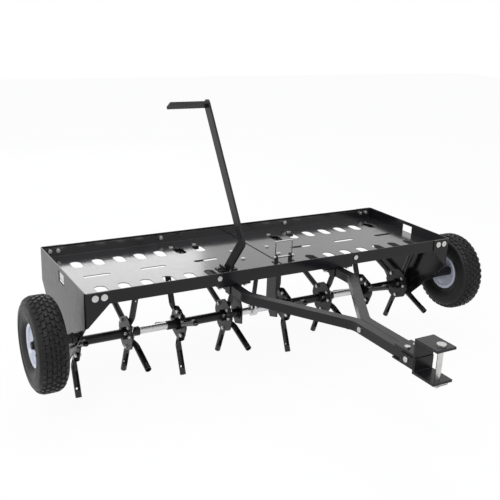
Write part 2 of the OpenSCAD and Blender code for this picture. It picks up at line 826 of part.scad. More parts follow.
// Lower clevis plate: a channel round the tubes' end whose floor runs on to the pin
module clevis_lower() {
    web_y = -tongue_end_y - 6;
    in_x = tube + side_clear + eps;
    color("black") at_tray() difference() {
        union() {
            translate([-in_x - side_plate_t, web_y, tube_low_z - side_plate_t])
                cube([2 * (in_x + side_plate_t), -clevis_rear_y - web_y, side_plate_t]);
            for (s = [-1, 1])
                translate([s > 0 ? in_x : -in_x - side_plate_t, web_y, tube_low_z - side_plate_t])
                    cube([side_plate_t, side_plate_l, tube + side_plate_t - 2]);
            translate([-clevis_w / 2, web_y - clevis_t + 2, gap_low_z - clevis_t])
                cube([clevis_w, clevis_t, tube_top_z - side_clear - gap_low_z + clevis_t]);
            translate([-clevis_w / 2, pin_y - clevis_nose, gap_low_z - clevis_t])
                cube([clevis_w, web_y - pin_y + clevis_nose, clevis_t]);
        }
        tongue_holes();
        translate([0, pin_y, gap_low_z - clevis_t - 1])
            cylinder(h = clevis_t + 2, r = pin_d / 2 + run_clear);
    }
}

pin_low_z = gap_low_z - clevis_t - 16;
pin_head_z = gap_top_z + clevis_t + side_clear;
clip_z = gap_low_z - clevis_t - 7;
clip_wire = 3;
module hitch_pin() {
    color("silver") at_tray() difference() {
        union() {
            translate([0, pin_y, pin_low_z + 2]) cylinder(h = pin_head_z - pin_low_z, r = pin_d / 2);
            translate([0, pin_y, pin_low_z]) cylinder(h = 2, r1 = pin_d / 2 - 1.5, r2 = pin_d / 2);
            translate([0, pin_y, pin_head_z]) cylinder(h = 5, r = pin_d / 2 + 4.5);
        }
        x_rod(-20, 20, pin_y, clip_z, clip_wire / 2 + run_clear);
    }
}

// A spring clip: one straight leg through the pin, an eye, and a leg round the pin
module hairpin_clip() {
    r = clip_wire / 2;
    reach = 16;
    eye_r = 6;
    color("silver") at_tray() translate([0, pin_y, clip_z]) {
        x_rod(-reach, reach + 2, 0, 0, r);
        translate([reach + 2, -eye_r, 0]) rotate([0, 0, -90]) rotate_extrude(angle = 180)
            translate([eye_r, 0]) circle(r);
        x_rod(-reach + 4, reach + 2, -2 * eye_r, 0, r);
    }
}

// The cranks' boss and pivots, which reach left through the link
boss_l = crank_t / 2 + 14;
pivot_end = -link_x - link_t / 2 - side_clear;
module tine_shaft() {
    color("silver") at_tray() union() {
        x_rod(-arm_out - 2, arm_out + 2, shaft_y, shaft_z, shaft_d / 2);
        for (m = [0, 1]) mirror([m, 0, 0])
            x_rod(half_len + side_clear, arm_in, shaft_y, shaft_z, collar_d / 2 - 2);
        // the rock crank, clamped on the shaft between the centre brackets
        x_rod(crank_x - crank_t / 2, crank_x - crank_t / 2 + boss_l, shaft_y, shaft_z, collar_d / 2);
        yz_plate(crank_x - crank_t / 2, crank_x + crank_t / 2)
            bar_2d([shaft_y, shaft_z], [link_low_y, link_low_z], 22);
        x_rod(pivot_end - 1, crank_x, link_low_y, link_low_z, pivot_d / 2);
        x_hex(pivot_end - 6, pivot_end, link_low_y, link_low_z, 9);
    }
}

module wheel_arm_shape() {
    difference() {
        yz_plate(arm_in, arm_out) bar_2d([shaft_y, shaft_z], [axle_y, axle_z], arm_w);
        x_rod(arm_in - 1, arm_out + 1, shaft_y, shaft_z, shaft_d / 2 + eps);
        x_rod(arm_in - 1, arm_out + 1, axle_y, axle_z, axle_d / 2 + eps);
    }
}

module wheel_arm_right() {
    color("black") at_tray() wheel_arm_shape();
}

module wheel_arm_left() {
    color("black") at_tray() mirror([1, 0, 0]) wheel_arm_shape();
}

module axle_bolts() {
    color("silver") at_tray() for (m = [0, 1]) mirror([m, 0, 0]) {
        x_hex(arm_in - axle_head_t, arm_in, axle_y, axle_z, axle_hex_r);
        x_rod(arm_in - 1, axle_end, axle_y, axle_z, axle_d / 2);
        x_hex(arm_out, arm_out + axle_nut_t, axle_y, axle_z, axle_hex_r);
        x_hex(hub_out + side_clear, hub_out + side_clear + axle_cap_t, axle_y, axle_z, axle_cap_r);
    }
}

// A closed outline from the points of its one side
function both_sides(half) = concat(half, [for (i = [len(half) - 1:-1:0]) [half[i][0], -half[i][1]]]);

// Half section of a tyre, hollow, with its beads on the rim's seats
bead_r = 50;
seat_clear = 0.1;
module tyre_2d() {
    w = tyre_w / 2;
    top = tyre_d / 2 - shoulder_r;
    seat = rim_w / 2;
    in_r = bead_r + seat_clear;
    cavity_r = tyre_d / 2 - tread_t;
    lip = rim_d / 2;
    wall_low = lip + 8;
    wall_mid = lip + 16;
    wall_high = lip + 26;
    difference() {
        union() {
            polygon(both_sides([
                [top, w], [wall_high, w - 0.5], [wall_mid, w - 2.5], [wall_low, w - 7],
                [lip + 2, seat + 2.5], [lip, seat - 0.3], [in_r + 0.6, seat - 1.9], [in_r, seat - 7.5]
            ]));
            translate([top - 1, shoulder_r - w]) square([shoulder_r + 1, 2 * (w - shoulder_r)]);
            for (s = [-1, 1]) translate([top, s * (w - shoulder_r)]) circle(shoulder_r);
        }
        polygon(both_sides([
            [cavity_r, w - 22], [cavity_r - 12.5, w - 10], [wall_mid, w - 10],
            [lip + 4, seat - 6.5], [in_r - 1, seat - 11.5]
        ]));
    }
}

module wheel_turn() {
    translate([wheel_x, axle_y, axle_z]) rotate([0, 90, 0]) rotate_extrude($fn = 96) children();
}

module tyre_right() {
    color("dimgray") at_tray() wheel_turn() tyre_2d();
}

module tyre_left() {
    color("dimgray") at_tray() mirror([1, 0, 0]) wheel_turn() tyre_2d();
}

// Half section of a rim: two dished pressings back to back, with flanges and bead seats
rim_wall = 2.5;
rim_disc_r = 30;
module rim_2d() {
    f = rim_d / 2;
    seat = rim_w / 2;
    bore = hub_d / 2 + eps;
    dish_r = bead_r - 6;
    polygon(both_sides([
        [bore, rim_wall], [rim_disc_r, rim_wall], [dish_r, rim_wall + dish_r - rim_disc_r],
        [bead_r - rim_wall, seat - 4], [bead_r - 1, seat + 1.5], [f, seat + rim_wall],
        [f, seat], [bead_r + 0.5, seat - 1.5], [bead_r, seat - 6.5], [bead_r, 14],
        [dish_r + 0.5, dish_r - rim_disc_r - 0.5], [rim_disc_r + 1.5, 0.5]
    ]));
}

module rim_right() {
    color("lavender") at_tray() wheel_turn() rim_2d();
}

module rim_left() {
    color("lavender") at_tray() mirror([1, 0, 0]) wheel_turn() rim_2d();
}

module wheel_hub_shape() {
    difference() {
        x_rod(hub_in, hub_out, axle_y, axle_z, hub_d / 2);
        x_rod(hub_in - 1, hub_out + 1, axle_y, axle_z, axle_bore_r);
    }
}

module wheel_hub_right() {
    color("black") at_tray() wheel_hub_shape();
}

module wheel_hub_left() {
    color("black") at_tray() mirror([1, 0, 0]) wheel_hub_shape();
}

// Angle of a star's first tine: the angle runs from straight ahead upwards
function star_angle(i) = (i % 2 == 1) ? -even_star_angle : -even_star_angle + star_stagger;

// Puts its children on a star, with the tine's radius along local Z
module on_star(i, k) {
    translate([STAR_X[i], shaft_y, shaft_z]) rotate([90 - star_angle(i) - 90 * k, 0, 0]) children();
}

module gang_tube(g) {
    color("dimgray") at_tray() difference() {
        union() {
            x_rod(GANG_X[g][0], GANG_X[g][1], shaft_y, shaft_z, gang_tube_d / 2);
            for (i = [2 * g, 2 * g + 1], x = [-star_t / 2 - collar_l, star_t / 2])
                x_rod(STAR_X[i] + x, STAR_X[i] + x + collar_l, shaft_y, shaft_z, collar_d / 2);
        }
        x_rod(GANG_X[g][0] - 1, GANG_X[g][1] + 1, shaft_y, shaft_z, bore_r);
        gang_pin_hole(g);
        for (i = [2 * g, 2 * g + 1])
            at_set_bolt(i) translate([0, 0, set_bolt_in]) cylinder(h = collar_d, r = set_bolt_r + eps);
    }
}

// The pin crosses the outer star's collar beside the bore, clear of the shaft
pin_off = shaft_d / 2 + 4;
gang_pin_r = 2;
gang_pin_in = 3.5;
module at_gang_pin(g) {
    translate([STAR_X[2 * g + 1] + star_t / 2 + collar_l - gang_pin_in, shaft_y - pin_off, shaft_z])
        children();
}

module gang_pin_hole(g) {
    at_gang_pin(g) translate([0, 0, -collar_d]) cylinder(h = 2 * collar_d, r = gang_pin_r + eps);
}

// A pin with a flat head and a split ring through its lower end
ring_r = 5;
ring_wire_r = 0.9;
module gang_pin(g) {
    head_z = collar_d / 2 + 1;
    ring_z = -collar_d / 2 - 2;
    color("silver") at_tray() at_gang_pin(g) {
        translate([0, 0, ring_z - 2.5]) cylinder(h = head_z - ring_z + 3.5, r = gang_pin_r);
        translate([0, 0, head_z]) cylinder(h = 3, r = 4.5);
        translate([0, -ring_r, ring_z]) rotate([0, 90, 0]) rotate_extrude()
            translate([ring_r, 0]) circle(ring_wire_r);
    }
}

module star_plates(g) {
    color("gray") at_tray() for (i = [2 * g, 2 * g + 1]) difference() {
        on_star(i, 0) intersection() {
            x_rod(-star_t / 2, star_t / 2, 0, 0, star_r);
            rotate([45, 0, 0]) cube([star_t + 1, 2 * star_flat, 2 * star_flat], center = true);
        }
        x_rod(STAR_X[i] - star_t, STAR_X[i] + star_t, shaft_y, shaft_z, gang_tube_d / 2 + eps);
        for (k = [0:3]) on_star(i, k)
            x_rod(-star_t, star_t, tine_bolt_at(k)[0], tine_bolt_at(k)[1], tine_bolt_d / 2 + 0.2);
    }
}

// The side of the plate that a star's tines stand on: they face away from the gang's middle
function tine_side(i) = (i % 2 == 0) ? -1 : 1;

// Where a tine's bolt sits beside it, in the plate's plane: across the tine and along it
function tine_bolt_at(k) =
    [((k == 0 || k == 3) ? 1 : -1) * tine_bolt_r * sin(tine_bolt_turn), tine_bolt_r * cos(tine_bolt_turn)];

// One coring tine: a flat root with an ear for its bolt, which opens into a tube with a
// slot for the cores and a slanted tip
tine_ear_w = 17;
module tine(side, k) {
    face = star_t / 2;
    root_x = face + tine_root_t / 2;
    tube_x = face + tine_d / 2;
    bolt = tine_bolt_at(k);
    flare = atan2(tine_d - tine_root_t, tine_full_r - tine_tube_r);
    mirror([side < 0 ? 1 : 0, 0, 0]) difference() {
        union() {
            translate([face, -tine_root_w / 2, tine_root_r])
                cube([tine_root_t, tine_root_w, tine_bolt_r + tine_ear_w / 2 - tine_root_r]);
            yz_plate(face, face + tine_root_t) bar_2d([0, tine_bolt_r], bolt, tine_ear_w);
            translate([tube_x, 0, tine_tube_r]) cylinder(h = tine_tip_r - tine_tube_r, r = tine_d / 2);
        }
        translate([tube_x, 0, tine_tube_r + tine_ear_w])
            cylinder(h = tine_tip_r, r = tine_d / 2 - tine_wall);
        // the tube is cut away to a slant above the flat root
        translate([face + tine_root_t, -tine_d, tine_tube_r]) rotate([0, flare, 0])
            cube([2 * tine_d, 2 * tine_d, 2 * tine_full_r]);
        translate([tube_x - tine_d, tine_d * 0.22, core_slot_r])
            cube([2 * tine_d, tine_d, tine_tip_r - tip_ring - core_slot_r]);
        translate([tube_x, -tine_d / 2, tine_tip_r]) rotate([tip_slant, 0, 0])
            translate([-tine_d, -tine_d, 0]) cube([2 * tine_d, 3 * tine_d, tine_d * 2]);
        translate([tube_x, 0, tine_tip_r - tip_hole_in]) rotate([90, 0, 0])
            cylinder(h = tine_d, r = tip_hole_d / 2);
        x_rod(root_x - tine_root_t, root_x + tine_root_t, bolt[0], bolt[1], tine_bolt_d / 2 + 0.2);
    }
}

module tines(g) {
    color("dimgray") at_tray() for (i = [2 * g, 2 * g + 1], k = [0:3]) on_star(i, k) tine(tine_side(i), k);
}

// A set bolt in a collar, on the plate's other side from the tines
set_bolt_r = 2.5;
set_bolt_in = 12.5;
set_bolt_off = 6.5;
set_bolt_angle = 20;
module at_set_bolt(i) {
    translate([STAR_X[i] - tine_side(i) * (star_t / 2 + set_bolt_off), shaft_y, shaft_z])
        rotate([90 - set_bolt_angle, 0, 0]) children();
}

tine_head_r = 5.8;
tine_head_t = 4;
tine_nut_t = 5;
module tine_bolts(g) {
    head = star_t / 2 + tine_root_t;
    nut = -star_t / 2;
    color("silver") at_tray() for (i = [2 * g, 2 * g + 1]) {
        for (k = [0:3]) on_star(i, k) mirror([tine_side(i) < 0 ? 1 : 0, 0, 0]) {
            at = tine_bolt_at(k);
            x_rod(nut - tine_nut_t - 2, head + 1, at[0], at[1], tine_bolt_d / 2);
            x_hex(head, head + tine_head_t, at[0], at[1], tine_head_r);
            x_hex(nut - tine_nut_t, nut, at[0], at[1], tine_head_r);
        }
        at_set_bolt(i) {
            translate([0, 0, set_bolt_in + 0.1]) cylinder(h = collar_d / 2 - set_bolt_in + 1, r = set_bolt_r);
            translate([0, 0, collar_d / 2]) cylinder(h = tine_head_t, r = tine_head_r, $fn = 6);
        }
    }
}

LIFT_X = [-lever_x - lever_t / 2 - 6, 24];
module lift_shaft() {
    color("silver") at_tray() {
        x_rod(LIFT_X[0], LIFT_X[1], lift_y, lift_z, lift_d / 2);
        x_rod(crank_x - crank_t / 2, crank_x - crank_t / 2 + boss_l, lift_y, lift_z, lift_d / 2 + 5);
        yz_plate(crank_x - crank_t / 2, crank_x + crank_t / 2)
            bar_2d([lift_y, lift_z], [link_top_y, link_top_z], 18);
        x_rod(pivot_end - 7, crank_x, link_top_y, link_top_z, pivot_d / 2);
    }
}

// Points of the lever's centre line in Y and Z
LEVER_FOOT = [lift_y, lift_z];
LEVER_BEND = [-184, 72];
LEVER_TOP = [48, lever_top];
module lever() {
    color("black") at_tray() difference() {
        yz_plate(-lever_x - lever_t / 2, -lever_x + lever_t / 2) {
            bar_2d(LEVER_FOOT, LEVER_BEND, lever_w);
            bar_2d(LEVER_BEND, LEVER_TOP, lever_w);
        }
        x_rod(-lever_x - 10, -lever_x + 10, lift_y, lift_z, lift_d / 2 + eps);
    }
}

// The grip: the bar's top folded to the left, in a flat sleeve
module lever_grip() {
    dir = atan2(LEVER_TOP[1] - LEVER_BEND[1], LEVER_TOP[0] - LEVER_BEND[0]);
    color("black") at_tray() translate([-lever_x - lever_t / 2 - grip_l, LEVER_TOP[0], LEVER_TOP[1]])
        rotate([dir - 90, 0, 0]) translate([0, -lever_w / 2, -grip_t / 2]) cube([grip_l, lever_w, grip_t]);
}

module lift_link() {
    color("dimgray") at_tray() difference() {
        yz_plate(-link_x - link_t / 2, -link_x + link_t / 2) {
            bar_2d([link_top_y, link_top_z], [link_low_y, link_low_z], link_w);
            translate([link_low_y, link_low_z]) circle(pivot_d / 2 + link_play + 3);
        }
        x_rod(-link_x - 10, -link_x + 10, link_top_y, link_top_z, pivot_d / 2 + run_clear);
        x_rod(-link_x - 10, -link_x + 10, link_low_y, link_low_z, pivot_d / 2 + link_play);
    }
}

// The nut on the lift crank's pivot, left of the link
module link_bolts() {
    color("silver") at_tray() difference() {
        x_hex(pivot_end - 6, pivot_end, link_top_y, link_top_z, m8_head_r);
        x_rod(pivot_end - 7, pivot_end + 1, link_top_y, link_top_z, pivot_d / 2 + eps);
    }
}

module gang_tube_1() { gang_tube(0); }
module gang_tube_2() { gang_tube(1); }
module gang_tube_3() { gang_tube(2); }
module gang_tube_4() { gang_tube(3); }
module star_plates_1() { star_plates(0); }
module star_plates_2() { star_plates(1); }
module star_plates_3() { star_plates(2); }
module star_plates_4() { star_plates(3); }
module tines_1() { tines(0); }
module tines_2() { tines(1); }
module tines_3() { tines(2); }
module tines_4() { tines(3); }
module tine_bolts_1() { tine_bolts(0); }
module tine_bolts_2() { tine_bolts(1); }
module tine_bolts_3() { tine_bolts(2); }
module tine_bolts_4() { tine_bolts(3); }
module gang_pin_1() { gang_pin(0); }
module gang_pin_2() { gang_pin(1); }
module gang_pin_3() { gang_pin(2); }
module gang_pin_4() { gang_pin(3); }

floor_panel_left();
floor_panel_right();
front_rail();
rear_rail();
end_plate_left();
end_plate_right();
rail_bolts();
floor_bolts();
centre_bracket_left();
centre_bracket_right();
shaft_bushes();
lift_bearings();
lever_guide();
bail_ears();
tongue_arm_left();
tongue_arm_right();
tongue_straps();
strap_bolts();
tongue_bolts();
clevis_upper();
clevis_lower();
tine_shaft();
wheel_arm_left();
wheel_arm_right();
axle_bolts();
tyre_left();
tyre_right();
rim_left();
rim_right();
wheel_hub_left();
wheel_hub_right();
gang_tube_1();
gang_tube_2();
gang_tube_3();
gang_tube_4();
star_plates_1();
star_plates_2();
star_plates_3();
star_plates_4();
tines_1();
tines_2();
tines_3();
tines_4();
tine_bolts_1();
tine_bolts_2();
tine_bolts_3();
tine_bolts_4();
gang_pin_1();
gang_pin_2();
gang_pin_3();
gang_pin_4();
lift_shaft();
lever();
lever_grip();
lift_link();
link_bolts();
bail_rod();
bail();
hitch_pin();
hairpin_clip();
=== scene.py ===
import bpy
import json
import math
from mathutils import Matrix, Vector


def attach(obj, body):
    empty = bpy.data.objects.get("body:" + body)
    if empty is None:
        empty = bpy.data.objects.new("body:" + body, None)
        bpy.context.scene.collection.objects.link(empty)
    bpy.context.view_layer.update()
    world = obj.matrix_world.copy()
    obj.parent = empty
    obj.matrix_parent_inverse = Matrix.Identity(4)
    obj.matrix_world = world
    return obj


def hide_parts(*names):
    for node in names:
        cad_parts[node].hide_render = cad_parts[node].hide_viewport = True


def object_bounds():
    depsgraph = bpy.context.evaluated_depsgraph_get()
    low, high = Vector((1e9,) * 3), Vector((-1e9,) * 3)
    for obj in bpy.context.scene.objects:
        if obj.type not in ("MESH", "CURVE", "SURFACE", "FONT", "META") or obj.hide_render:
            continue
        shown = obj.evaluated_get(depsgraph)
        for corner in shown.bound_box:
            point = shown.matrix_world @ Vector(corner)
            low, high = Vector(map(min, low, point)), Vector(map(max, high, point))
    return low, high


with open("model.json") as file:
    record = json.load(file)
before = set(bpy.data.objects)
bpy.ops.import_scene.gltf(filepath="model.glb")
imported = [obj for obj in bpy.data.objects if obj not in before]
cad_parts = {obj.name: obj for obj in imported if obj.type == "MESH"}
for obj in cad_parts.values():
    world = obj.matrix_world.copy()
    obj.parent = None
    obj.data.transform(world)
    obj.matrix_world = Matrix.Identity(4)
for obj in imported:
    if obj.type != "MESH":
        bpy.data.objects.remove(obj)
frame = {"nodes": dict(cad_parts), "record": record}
cad_low, cad_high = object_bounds()
nodes = frame["nodes"]

# Sizes of the part, in metres, in the row frame
TRAY_Y = 0.822
TRAY_Z = 0.040
SHAFT_Y = TRAY_Y - 0.018
SHAFT_Z = TRAY_Z - 0.216
ARM_LENGTH = 0.1338
ARM_ANGLE = math.radians(30.6)
AXLE_Y = SHAFT_Y - ARM_LENGTH * math.cos(ARM_ANGLE)
AXLE_Z = SHAFT_Z + ARM_LENGTH * math.sin(ARM_ANGLE)
WHEEL_X = 0.700
SIDE_WORDS = {-1: "left", 1: "right"}


# Materials

NOISE_ROUGHNESS = 0.55
# The values that most of a noise lies between
NOISE_SPAN = (0.3, 0.7)
PLAIN = (1, 1, 1)
GRAIN_HEIGHT = 0.0004
BEVEL_SAMPLES = 4
# Lighter edges, partly worn paint and partly a painted edge highlight: how far the rounded normal must turn from
# the flat one, as cosines, for no tint and for full tint
PLAIN_FACE_COSINE = 0.99
FULL_EDGE_COSINE = 0.75
EDGE_BREAKUP_SCALE = 55
# Noise from the first to the second value gives edge tint, worn paint and painted edge highlight alike, from the
# third to the fourth
EDGE_BREAKUP_RANGE = (0.35, 0.7, 0.15, 0.9)


def new_material(name):
    mat = bpy.data.materials.new(name)
    mat.use_nodes = True
    tree = mat.node_tree
    return mat, tree, tree.nodes["Principled BSDF"]


def feed(tree, socket, value):
    """Link another socket to this one, or set a plain number on it."""
    if isinstance(value, bpy.types.NodeSocket):
        tree.links.new(value, socket)
    else:
        socket.default_value = value


def add_noise(tree, scale, detail, stretch=PLAIN):
    coord = tree.nodes.new("ShaderNodeTexCoord")
    mapping = tree.nodes.new("ShaderNodeMapping")
    mapping.inputs["Scale"].default_value = stretch
    noise = tree.nodes.new("ShaderNodeTexNoise")
    noise.inputs["Scale"].default_value = scale
    noise.inputs["Detail"].default_value = detail
    noise.inputs["Roughness"].default_value = NOISE_ROUGHNESS
    tree.links.new(coord.outputs["Object"], mapping.inputs["Vector"])
    tree.links.new(mapping.outputs["Vector"], noise.inputs["Vector"])
    return noise.outputs["Fac"]


def add_range(tree, source, low, high, to_low, to_high):
    node = tree.nodes.new("ShaderNodeMapRange")
    node.inputs["From Min"].default_value = low
    node.inputs["From Max"].default_value = high
    node.inputs["To Min"].default_value = to_low
    node.inputs["To Max"].default_value = to_high
    tree.links.new(source, node.inputs["Value"])
    return node.outputs["Result"]


def add_math(tree, operation, first, second):
    node = tree.nodes.new("ShaderNodeMath")
    node.operation = operation
    feed(tree, node.inputs[0], first)
    feed(tree, node.inputs[1], second)
    return node.outputs["Value"]


def add_color_mix(tree, factor, first, second):
    node = tree.nodes.new("ShaderNodeMix")
    node.data_type = "RGBA"
    feed(tree, node.inputs[0], factor)
    feed(tree, node.inputs[6], first)
    feed(tree, node.inputs[7], second)
    return node.outputs[2]


def worn_and_highlit_edges(tree, rounded_normal):
    """1 on the lighter edges of a shape, partly worn paint and partly a painted edge highlight, and 0 on its
    faces, broken up by noise.
    """
    geometry = tree.nodes.new("ShaderNodeNewGeometry")
    cosine = tree.nodes.new("ShaderNodeVectorMath")
    cosine.operation = "DOT_PRODUCT"
    tree.links.new(rounded_normal, cosine.inputs[0])
    tree.links.new(geometry.outputs["Normal"], cosine.inputs[1])
    edge = add_range(tree, cosine.outputs["Value"], PLAIN_FACE_COSINE, FULL_EDGE_COSINE, 0, 1)
    edge_breakup = add_range(tree, add_noise(tree, EDGE_BREAKUP_SCALE, 5), *EDGE_BREAKUP_RANGE)
    return add_math(tree, "MULTIPLY", edge, edge_breakup)


def finish_material(name, color, shade, rough, peel, patch=7, metal=0, stretch=PLAIN, wear_and_highlight=None,
                    edge_radius=0.0012, coat=0, coat_rough=0.1, spec=0.5):
    """A surface with mottled colour, uneven roughness, fine bump and softened edges, tinted lighter as worn paint
    and as a painted edge highlight.

    The colour wanders from color to shade in patches, and the roughness between the two values of rough. Peel is
    the scale and strength of the fine bump, and the last colour argument that of its lighter edges, partly worn
    paint and partly a painted edge highlight.
    """
    mat, tree, bsdf = new_material(name)
    spread = add_range(tree, add_noise(tree, patch, 4), *NOISE_SPAN, 0, 1)
    base = add_color_mix(tree, spread, (*color, 1), (*shade, 1))
    bevel = tree.nodes.new("ShaderNodeBevel")
    bevel.samples = BEVEL_SAMPLES
    bevel.inputs["Radius"].default_value = edge_radius
    # Lighter edges: partly worn paint, partly a painted edge highlight
    if wear_and_highlight:
        base = add_color_mix(tree, worn_and_highlit_edges(tree, bevel.outputs["Normal"]), base, (*wear_and_highlight, 1))
    uneven = add_range(tree, add_noise(tree, patch * 6, 6), *NOISE_SPAN, *rough)
    bump = tree.nodes.new("ShaderNodeBump")
    bump.inputs["Strength"].default_value = peel[1]
    bump.inputs["Distance"].default_value = GRAIN_HEIGHT
    tree.links.new(add_noise(tree, peel[0], 3, stretch), bump.inputs["Height"])
    tree.links.new(bevel.outputs["Normal"], bump.inputs["Normal"])
    for socket, value in (("Base Color", base), ("Roughness", uneven), ("Normal", bump.outputs["Normal"]),
                          ("Metallic", metal), ("Specular IOR Level", spec), ("Coat Weight", coat),
                          ("Coat Roughness", coat_rough)):
        feed(tree, bsdf.inputs[socket], value)
    mat.diffuse_color = (*color, 1)
    return mat


# The edge colours below tint edges lighter: partly worn paint, partly a painted edge highlight
BLACK = finish_material("powder_black", (0.0065, 0.0065, 0.0075), (0.010, 0.010, 0.0115), (0.22, 0.34),
                        (520, 0.10), wear_and_highlight=(0.06, 0.06, 0.064), edge_radius=0.0022, coat=0.05, coat_rough=0.16,
                        spec=0.26)
PANEL = finish_material("powder_black_panel", (0.0065, 0.0065, 0.0075), (0.010, 0.010, 0.0115), (0.16, 0.26),
                        (420, 0.06), wear_and_highlight=(0.07, 0.07, 0.074), coat=0.05, coat_rough=0.12, spec=0.24)
TRAY = finish_material("powder_black_floor", (0.010, 0.010, 0.0115), (0.015, 0.015, 0.017), (0.14, 0.22),
                       (420, 0.05), wear_and_highlight=(0.10, 0.10, 0.105), coat=0.45, spec=0.7)
ZINC = finish_material("zinc_plate", (0.64, 0.64, 0.62), (0.50, 0.50, 0.49), (0.20, 0.42),
                       (900, 0.16), patch=60, metal=1, wear_and_highlight=(0.82, 0.82, 0.80), edge_radius=0.0006)
PIN = finish_material("pin_plate", (0.86, 0.86, 0.85), (0.78, 0.78, 0.77), (0.14, 0.26),
                      (900, 0.05), patch=60, metal=1, wear_and_highlight=(0.92, 0.92, 0.91), edge_radius=0.0005)
STEEL = finish_material("bright_bar", (0.66, 0.66, 0.67), (0.56, 0.56, 0.57), (0.22, 0.34),
                        (60, 0.035), patch=30, metal=1, stretch=(0.35, 14, 14))
PLATE = finish_material("star_plate_black", (0.0055, 0.0055, 0.006), (0.011, 0.011, 0.012), (0.26, 0.46),
                        (420, 0.35), patch=45, wear_and_highlight=(0.10, 0.10, 0.105), coat=0.05, coat_rough=0.2, spec=0.24)
TINE = finish_material("tine_black", (0.006, 0.006, 0.0068), (0.0115, 0.0115, 0.0125), (0.22, 0.38),
                       (520, 0.20), patch=40, wear_and_highlight=(0.12, 0.12, 0.125), coat=0.12, coat_rough=0.18, spec=0.34)
RUBBER = finish_material("tyre_rubber", (0.0065, 0.0065, 0.007), (0.011, 0.0108, 0.0105), (0.34, 0.58),
                         (900, 0.30), patch=25, wear_and_highlight=(0.034, 0.034, 0.0335), spec=0.24)
RIM = finish_material("rim_paint", (0.54, 0.57, 0.67), (0.62, 0.645, 0.73), (0.26, 0.38),
                      (500, 0.06), patch=20, wear_and_highlight=(0.74, 0.76, 0.80), coat=0.3, coat_rough=0.15)
PLASTIC = finish_material("hub_plastic", (0.012, 0.012, 0.013), (0.019, 0.019, 0.020), (0.38, 0.52),
                          (1300, 0.20), patch=50, wear_and_highlight=(0.05, 0.05, 0.05), spec=0.3)
GRIP = finish_material("grip_plastic", (0.009, 0.009, 0.010), (0.014, 0.014, 0.015), (0.40, 0.56),
                       (1500, 0.35), patch=50, wear_and_highlight=(0.05, 0.05, 0.05), spec=0.3)

BY_SLOT = {"black_paint": BLACK, "zinc": ZINC, "bare_steel": STEEL, "grey_paint": PLATE, "tine_paint": TINE,
           "tyre": RUBBER, "rim_paint": RIM, "hub_plastic": PLASTIC, "bush_plastic": PLASTIC, "grip": GRIP}
# Nodes that look different from the rest of their slot
BY_NODE = {"floor_panel_left": TRAY, "floor_panel_right": TRAY, "front_rail": PANEL, "rear_rail": PANEL,
           "end_plate_left": PANEL, "end_plate_right": PANEL, "axle_bolts": BLACK, "gang_pin_1": PIN,
           "gang_pin_2": PIN, "gang_pin_3": PIN, "gang_pin_4": PIN}
for row in frame["record"]["subparts"]:
    materials = nodes[row["node"]].data.materials
    materials.clear()
    materials.append(BY_NODE.get(row["node"], BY_SLOT[row["material_slot"]]))


# Mesh helpers

def add_object(name, data):
    obj = bpy.data.objects.new(name, data)
    bpy.context.scene.collection.objects.link(obj)
    return obj


def make_mesh(name, verts, faces, material, body, sharp):
    """A visible piece on a body, shaded smooth but for edges over sharp degrees."""
    mesh = bpy.data.meshes.new(name)
    mesh.from_pydata([tuple(v) for v in verts], [], faces)
    mesh.validate()
    mesh.update()
    obj = add_object(name, mesh)
    mesh.materials.append(material)
    mesh.shade_smooth()
    mesh.set_sharp_from_angle(angle=math.radians(sharp))
    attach(obj, body)
    return obj


def on_wheel(side, x, r, a):
    """The point x outward from a wheel's middle, at radius r and angle a round its axle."""
    return (side * WHEEL_X + x, AXLE_Y + r * math.cos(a), AXLE_Z + r * math.sin(a))


def add_band(faces, start, count, step):
    """Quads between one closed ring of count points, which starts at start, and the ring step points on."""
    for k in range(count):
        m = (k + 1) % count
        faces.append((start + k, start + m, start + step + m, start + step + k))


# Tyres

TYRE_R = 0.128
TYRE_HALF_WIDTH = 0.040
SHOULDER_R = 0.028
TYRE_STEPS = 132
# Half of the tread's line, from the crown's middle: where the blocks end, and where the side wall starts
TREAD_EDGE = 0.0352
WALL_START = 0.0455
TREAD_STEPS = 44
LEAST_SUNK = 0.1
LUG_PITCHES = 38
LUG_DEPTH = 0.004
LUG_ROOT = 0.001
LUG_FLARE = 0.0012
LUG_CHAMFER = (0.0012, 0.0010)
LUG_CELLS = 3
TREAD_SHARP = 32
# Rows of tread blocks on one side: start, end, offset and width in pitches, and skew in radians
LUG_ROWS = ((0.0012, 0.0098, 0.00, 0.56, 0.035), (0.0122, 0.0222, 0.45, 0.58, 0.030),
            (0.0246, 0.0350, 0.02, 0.54, 0.0))
# The side wall of a tyre from its widest place down to the bead: distance from the middle, and radius
SIDE_WALL = ((0.0396, 0.0975), (0.0394, 0.0950), (0.0400, 0.0943), (0.0400, 0.0932), (0.0392, 0.0925),
             (0.0391, 0.0890), (0.0397, 0.0883), (0.0397, 0.0874), (0.0389, 0.0867), (0.0380, 0.0780),
             (0.0362, 0.0720), (0.0330, 0.0665), (0.0300, 0.0627), (0.0288, 0.0618), (0.0284, 0.0602),
             (0.0256, 0.0590), (0.0250, 0.0578), (0.0236, 0.0507), (0.0185, 0.0502))


def tyre_line(s):
    """Point and outward direction on the tyre's outer line, at distance s along it from the crown's middle."""
    half = 1 if s >= 0 else -1
    s = abs(s)
    flat = TYRE_HALF_WIDTH - SHOULDER_R
    top = TYRE_R - SHOULDER_R
    quarter = SHOULDER_R * math.pi / 2
    if s <= flat:
        return (half * s, TYRE_R), (0.0, 1.0)
    if s <= flat + quarter:
        a = (s - flat) / SHOULDER_R
        n = (half * math.sin(a), math.cos(a))
        return (half * flat + SHOULDER_R * n[0], top + SHOULDER_R * n[1]), n
    return (half * TYRE_HALF_WIDTH, top - (s - flat - quarter)), (float(half), 0.0)


